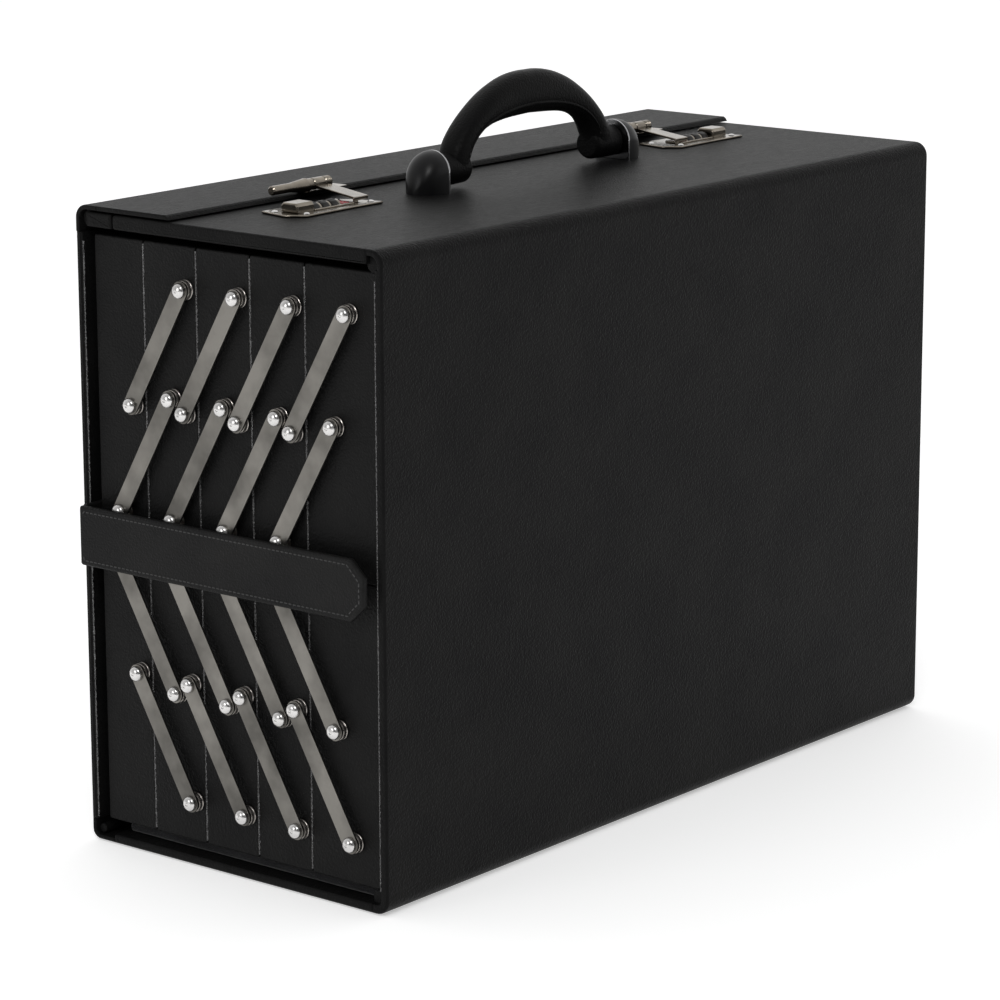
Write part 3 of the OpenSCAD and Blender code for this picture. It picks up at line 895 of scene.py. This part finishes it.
def grip_foot(side):
    """The round foot that turns on the flange's pin, swept into the arch above it."""
    inner = GRIP_HIGH.x - FOOT_W
    profile = [(inner, 6.6 * MM), (inner + 0.8 * MM, 7.8 * MM), (inner + 2.4 * MM, 8.7 * MM),
               (inner + 12 * MM, 9 * MM), (GRIP_HIGH.x - 1.2 * MM, 8.8 * MM), (GRIP_HIGH.x, 7.8 * MM)]
    return lathe(profile, (0, PIVOT.x, PIVOT.y), "x", 36, side)


def build_grip():
    sides = 28
    verts = []
    for k in range(GRIP_RINGS + 1):
        centre, out, half = grip_frame(k / GRIP_RINGS)
        for j in range(sides):
            u, v = grip_section(2 * math.pi * j / sides, half, GRIP_WIDE)
            verts.append(centre + out * u + Vector((0, v, 0)))
    grip = make_object("grip_padding", verts, tube_faces(GRIP_RINGS + 1, sides), LEATHER_GRIP)
    settle(grip, "handle", "leatherette_trim", "handle_grip")
    feet = combine([grip_foot(-1), grip_foot(1)])
    settle(make_object("grip_feet", *feet, LEATHER_GRIP), "handle", "leatherette_trim")
    for side in (-1, 1):
        route = []
        for k in range(5, GRIP_RINGS - 4):
            centre, out, half = grip_frame(k / GRIP_RINGS)
            u, v = grip_section(SEAM_ANGLE, half, GRIP_WIDE)
            route.append(centre + out * u + Vector((0, side * (v + 0.1 * MM), 0)))
        face = "front" if side < 0 else "back"
        settle(grip_welt(face, route), "handle", "leatherette_trim")
        seam = stitches(f"grip_stitches_{face}", route, lambda p, s=side: (0, s, -0.3),
                        pitch=2.6 * MM, length=2.0 * MM, thick=0.45 * MM)
        settle(seam, "handle", "leatherette_trim")


def grip_welt(face, route):
    """The raised fold that the grip's stitches run along."""
    sides, proud, tall = 8, 0.45 * MM, 0.8 * MM
    verts = []
    for point in route:
        for j in range(sides):
            a = 2 * math.pi * j / sides
            verts.append(point + Vector((0, proud * math.cos(a), tall * math.sin(a))))
    return make_object(f"grip_welt_{face}", verts, tube_faces(len(route), sides), LEATHER_GRIP)


def dome_mesh(side):
    """The cap outside a flange: upright sides, a round top, and falling away outwards."""
    cap_low, cap_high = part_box("handle_ends")
    wide, high = (cap_high.y - cap_low.y) / 2, cap_high.z - CASE_H
    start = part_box("handle_mounts")[1].x
    long = cap_high.x - start
    rings, steps, least = 12, 16, 0.02
    verts = []
    for k in range(rings + 1):
        share = math.sin(math.pi / 2 * k / rings)
        fall = max((1 - share ** 2.3) ** 0.5, least) if k < rings else least
        w, h = wide * fall, high * fall
        crown = arc(0, max(h - w, 0), w, 180, 0, steps)
        section = [(-w, 0.0)] + crown + [(w, 0.0)]
        verts += [(side * (start + long * share), PIVOT.x + y, CASE_H + z) for y, z in section]
    return verts, tube_faces(rings + 1, steps + 3)


def build_handle_mounts():
    """The metal flanges with the grip's pins, and the caps outside them."""
    low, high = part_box("handle_mounts")
    inside = high.x - FLANGE_T
    radius = (high.y - low.y) / 2
    outline = ([(PIVOT.x - radius, CASE_H), (PIVOT.x + radius, CASE_H)]
               + arc(PIVOT.x, PIVOT.y, radius, 0, 180, 16))
    flange = bar_mesh(outline, inside, high.x, "x", 0.4 * MM, steps=2)
    start = inside - PIN_LONG
    pin = lathe([(start, PIN_R - 0.2 * MM), (start + 0.4 * MM, PIN_R), (inside, PIN_R)],
                (0, PIVOT.x, PIVOT.y))
    parts = [flange, (mirror_x(flange[0]), flange[1]), pin, (mirror_x(pin[0]), pin[1])]
    flanges = make_object("handle_flanges", *combine(parts), CHROME)
    settle(flanges, "top_flap", "handle_plate", "handle_mounts")
    caps = combine([dome_mesh(-1), dome_mesh(1)])
    settle(make_object("handle_caps", *caps, BLACK_PLASTIC), "top_flap", "handle_plastic", "handle_ends")


# ---------------------------------------------------------------- locks

LOCK_X = 166 * MM
HASP_X = abs(JOINTS["left_hasp_hinge"]["pos_m"][0])
PLATE_TOP = CASE_H + 1.4 * MM
DIAL_Y = JOINTS["left_dial_1_spin"]["pos_m"][1] - FRONT_Y
HASP_Y = joint_yz("left_hasp_hinge").x - FRONT_Y
BARREL_Z = joint_yz("left_hasp_hinge").y
BARREL_R = 3.3 * MM
WINDOW = [(-12.1 * MM, DIAL_Y - 5.2 * MM), (17.5 * MM, DIAL_Y + 5.2 * MM)]
TONGUE_SLOT = [(19 * MM, 106.2 * MM), (23.3 * MM, 113 * MM)]
DIAL_STEP = 7.4
FIRST_DIAL_X = -9
TIP_Y = 107.6
ARM_T = 1.4 * MM
ARM_FALL = 0.07
KNUCKLE_X = (5.4, 14.2)

# Outlines in millimetres: the plate from the lock's middle, the arm from the hasp's flared rim
PLATE_SHAPE = [(-31, 129), (-35, 109), (-27, 100), (13, 101.5), (35, 101), (30, 118), (25, 126), (-8, 128)]
PLATE_RIVETS = [(-29.5, 121), (-24, 103.5), (29.5, 105), (22, 122.5)]
ARM_SHAPE = [(5.4, 145), (5.4, 141), (-1.8, TIP_Y), (9.5, TIP_Y), (16.5, 140.8), (14.2, 141.2), (14.2, 145)]


def works_frame(side):
    """Maps a lock's own places, X towards the case's middle, onto the row frame."""
    return lambda verts: [(-side * (x - LOCK_X), FRONT_Y + y, z) for x, y, z in verts]


def spot_frame(side, middle):
    """Maps places about a middle that isn't mirrored onto the row frame."""
    return lambda verts: [(side * middle + x, FRONT_Y + y, z) for x, y, z in verts]


def cut(piece, boxes):
    """Cuts boxes out of a piece."""
    holes = [bar_mesh(rounded(a[:2], b[:2], 0), a[2], b[2], "z") for a, b in boxes]
    verts, faces = combine(holes)
    cutter = make_object("cutter", verts, faces, NICKEL, smooth=False)
    modifier = piece.modifiers.new("cut", "BOOLEAN")
    modifier.object = cutter
    modifier.operation = "DIFFERENCE"
    modifier.solver = "EXACT"
    piece.modifiers.move(len(piece.modifiers) - 1, 0)
    graph = bpy.context.evaluated_depsgraph_get()
    data = bpy.data.meshes.new_from_object(piece.evaluated_get(graph))
    piece.modifiers.clear()
    piece.data = data
    bpy.data.objects.remove(cutter)
    shade(piece)


def ring(w0, w1, r, ease=0.35 * MM):
    """A lathe profile for a short barrel with eased rims."""
    return [(w0, r - ease), (w0 + ease, r), (w1 - ease, r), (w1, r - ease)]


def build_plate(name, put, spot):
    """The lock's plate, the raised rim round its window, the dark well and four rivets."""
    shape = [(x * MM, y * MM) for x, y in PLATE_SHAPE]
    verts, faces = bar_mesh(shape, CASE_H, PLATE_TOP, "z", 0.5 * MM, steps=2)
    plate = make_object(f"lock_plate_{name}_body", spot(verts), faces, NICKEL)
    cut(plate, [hole_corners(put, *WINDOW), hole_corners(put, *TONGUE_SLOT)])
    settle(plate, "top_flap", "lock_nickel", f"lock_plate_{name}")
    grow = 1.3 * MM
    (x0, y0), (x1, y1) = WINDOW
    outline = rounded((x0 - grow, y0 - grow), (x1 + grow, y1 + grow), 1.5 * MM)
    verts, faces = bar_mesh(outline, PLATE_TOP - 0.2 * MM, PLATE_TOP + 0.9 * MM, "z", 0.4 * MM, steps=2)
    rim = make_object(f"lock_window_{name}", put(verts), faces, NICKEL)
    cut(rim, [hole_corners(put, *WINDOW)])
    settle(rim, "top_flap", "lock_nickel")
    verts, faces = bar_mesh(rounded(*WINDOW, 0.2 * MM), CASE_H, CASE_H + 0.4 * MM, "z")
    settle(make_object(f"lock_well_{name}", put(verts), faces, DIAL_BLACK), "top_flap", "dial_black")
    head = [(PLATE_TOP - 0.3 * MM, 1.8 * MM), (PLATE_TOP + 0.3 * MM, 1.8 * MM),
            (PLATE_TOP + 0.8 * MM, 1.2 * MM), (PLATE_TOP + 0.95 * MM, 0.4 * MM)]
    verts, faces = combine([lathe(head, (x * MM, y * MM, 0), "z", 20) for x, y in PLATE_RIVETS])
    settle(make_object(f"lock_rivets_{name}", spot(verts), faces, RIVET), "top_flap", "lock_nickel")


def build_lock(side):
    name = "left" if side < 0 else "right"
    put = works_frame(side)
    build_plate(name, put, spot_frame(side, LOCK_X))
    build_marker(name, put)
    build_slide(name, put)
    build_dials(name, put)
    build_hasp(name, spot_frame(side, HASP_X))


def hole_corners(put, low, high):
    """Opposite corners of a hole through the plate, in the row frame."""
    (x0, y0, _), (x1, y1, _) = put([(*low, 0)])[0], put([(*high, 0)])[0]
    return (min(x0, x1), y0, CASE_H - 1 * MM), (max(x0, x1), y1, CASE_H + 9 * MM)


def build_marker(name, put):
    """The red block beside the number wheels."""
    outline = rounded((11.2 * MM, DIAL_Y - 4 * MM), (17.2 * MM, DIAL_Y + 4 * MM), 0.8 * MM)
    verts, faces = bar_mesh(outline, CASE_H + 0.3 * MM, PLATE_TOP + 0.9 * MM, "z", 0.4 * MM, steps=2)
    piece = make_object(f"lock_marker_{name}", put(verts), faces, RED)
    settle(piece, "top_flap", "marker_red", *(["lock_markers"] if name == "left" else []))


def build_slide(name, put):
    """The button: a block with sloping shoulders."""
    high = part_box(f"slide_{name}")[1]
    base = PLATE_TOP + 0.1 * MM
    y0, y1 = DIAL_Y - 6 * MM, DIAL_Y + 6 * MM
    shoulders = [(y0, base), (y1, base), (y1, base + 3.4 * MM), (y1 - 1.6 * MM, high.z),
                 (y0 + 1.6 * MM, high.z), (y0, base + 3.4 * MM)]
    verts, faces = bar_mesh(shoulders, -27 * MM, -13.5 * MM, "x", 0.9 * MM)
    piece = make_object(f"slide_button_{name}", put(verts), faces, NICKEL)
    settle(piece, f"{name}_slide", "lock_nickel", f"slide_{name}")


def wheel_mesh(centre, half, radius, sides=40):
    """A number wheel with finger notches round its rim."""
    verts = []
    profile = ((-half, 0.8), (-half, 0.9), (-half * 0.6, 1.0), (half * 0.6, 1.0), (half, 0.9), (half, 0.8))
    for w, share in profile:
        for k in range(sides):
            reach = radius * share * (0.92 if k % 4 == 0 and share == 1.0 else 1.0)
            a = 2 * math.pi * k / sides
            verts.append((centre.x + w, centre.y + reach * math.cos(a), centre.z + reach * math.sin(a)))
    return verts, tube_faces(len(profile), sides)


def build_dials(name, put):
    """Three number wheels, with a metal hood after each."""
    spacers = []
    for number in (1, 2, 3):
        low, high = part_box(f"dial_{name}_{number}")
        radius, centre = (high.z - low.z) / 2, (low + high) / 2
        verts, faces = wheel_mesh(centre, (high.x - low.x) / 2, radius)
        piece = make_object(f"number_wheel_{name}_{number}", verts, faces, DIAL_BLACK)
        settle(piece, f"{name}_dial_{number}", "dial_black", f"dial_{name}_{number}")
        gap = (FIRST_DIAL_X + DIAL_STEP * (number - 0.5)) * MM
        hood = arc(DIAL_Y, centre.z, radius * 0.86, 0, 180, 12)
        verts, faces = bar_mesh(hood, gap - 0.8 * MM, gap + 0.8 * MM, "x", 0.3 * MM, steps=2)
        spacers.append((put(verts), faces))
    settle(make_object(f"lock_spacers_{name}", *combine(spacers), NICKEL), "top_flap", "lock_nickel")


def build_hasp(name, put):
    """The hasp: a knuckle, an arm that falls towards its tip, a bent end and a tongue."""
    tip_y = TIP_Y * MM
    top = BARREL_Z - 0.2 * MM
    shape = [(x * MM, y * MM) for x, y in ARM_SHAPE]
    verts, faces = bar_mesh(shape, top - ARM_T, top, "z", 0.4 * MM, steps=2)
    arm = [(x, y, z - ARM_FALL * (HASP_Y - y)) for x, y, z in verts], faces
    end_top = top - ARM_FALL * (HASP_Y - tip_y)
    outline = rounded((-1.8 * MM, tip_y), (9.5 * MM, tip_y + 1.5 * MM), 0.5 * MM)
    end = bar_mesh(outline, PLATE_TOP + 1.2 * MM, end_top - 0.3 * MM, "z", 0.3 * MM, steps=2)
    outline = rounded((-1.5 * MM, tip_y + 0.1 * MM), (1.5 * MM, tip_y + 1.4 * MM), 0.3 * MM)
    tongue = bar_mesh(outline, CASE_H + 0.6 * MM, PLATE_TOP + 1.4 * MM, "z", 0.2 * MM, steps=2)
    knuckle = lathe(ring(KNUCKLE_X[0] * MM, KNUCKLE_X[1] * MM, BARREL_R), (0, HASP_Y, BARREL_Z))
    verts, faces = combine([arm, end, tongue, knuckle])
    piece = make_object(f"hasp_arm_{name}", put(verts), faces, NICKEL)
    settle(piece, f"{name}_hasp", "lock_nickel", f"hasp_{name}")
    build_hasp_base(name, put)


def build_hasp_base(name, put):
    """The plate on the lip, the fixed knuckles with turned grooves, and the flared nose."""
    base = LIP_HIGH.z
    nose = [(-27 * MM, 2.0 * MM), (-26.4 * MM, 2.6 * MM), (-11.6 * MM, 2.6 * MM), (-10.4 * MM, 2.8 * MM),
            (-0.8 * MM, 3.7 * MM), (-0.3 * MM, 3.9 * MM), (0.5 * MM, 3.8 * MM), (0.7 * MM, 3.3 * MM)]
    end = [(14.6 * MM, BARREL_R - 0.4 * MM), (15 * MM, BARREL_R)]
    for k in range(3):
        w = (16 + 1.3 * k) * MM
        end += [(w, BARREL_R), (w + 0.2 * MM, BARREL_R - 0.35 * MM), (w + 0.5 * MM, BARREL_R)]
    end += [(19.3 * MM, BARREL_R), (20 * MM, BARREL_R - 0.8 * MM)]
    plate = rounded((-1 * MM, HASP_Y - 2 * MM), (33 * MM, HASP_Y + 15 * MM), 1.2 * MM)
    parts = [bar_mesh(plate, base, base + 0.5 * MM, "z", 0.2 * MM, steps=2)]
    for profile in (ring(0.7 * MM, 5 * MM, BARREL_R), end, nose):
        parts.append(lathe(profile, (0, HASP_Y, BARREL_Z)))
    foot = rounded((HASP_Y, base + 0.4 * MM), (HASP_Y + BARREL_R, BARREL_Z), 0)
    for x0, x1 in ((0, 5), (14.6, 20)):
        parts.append(bar_mesh(foot, (x0 + 0.3) * MM, (x1 - 0.3) * MM, "x", 0.2 * MM, steps=2))
    verts, faces = combine(parts)
    piece = make_object(f"hasp_barrel_{name}", put(verts), faces, NICKEL)
    settle(piece, "lip", "lock_nickel", *(["hasp_bases"] if name == "left" else []))


build_front()
build_bottom()
build_top()
build_lip()
build_back()
build_trays()
build_beads()
build_arms()
build_rivets()
build_strap(-1)
build_strap(1)
build_strap_roots()
build_grip()
build_handle_mounts()
build_lock(-1)
build_lock(1)
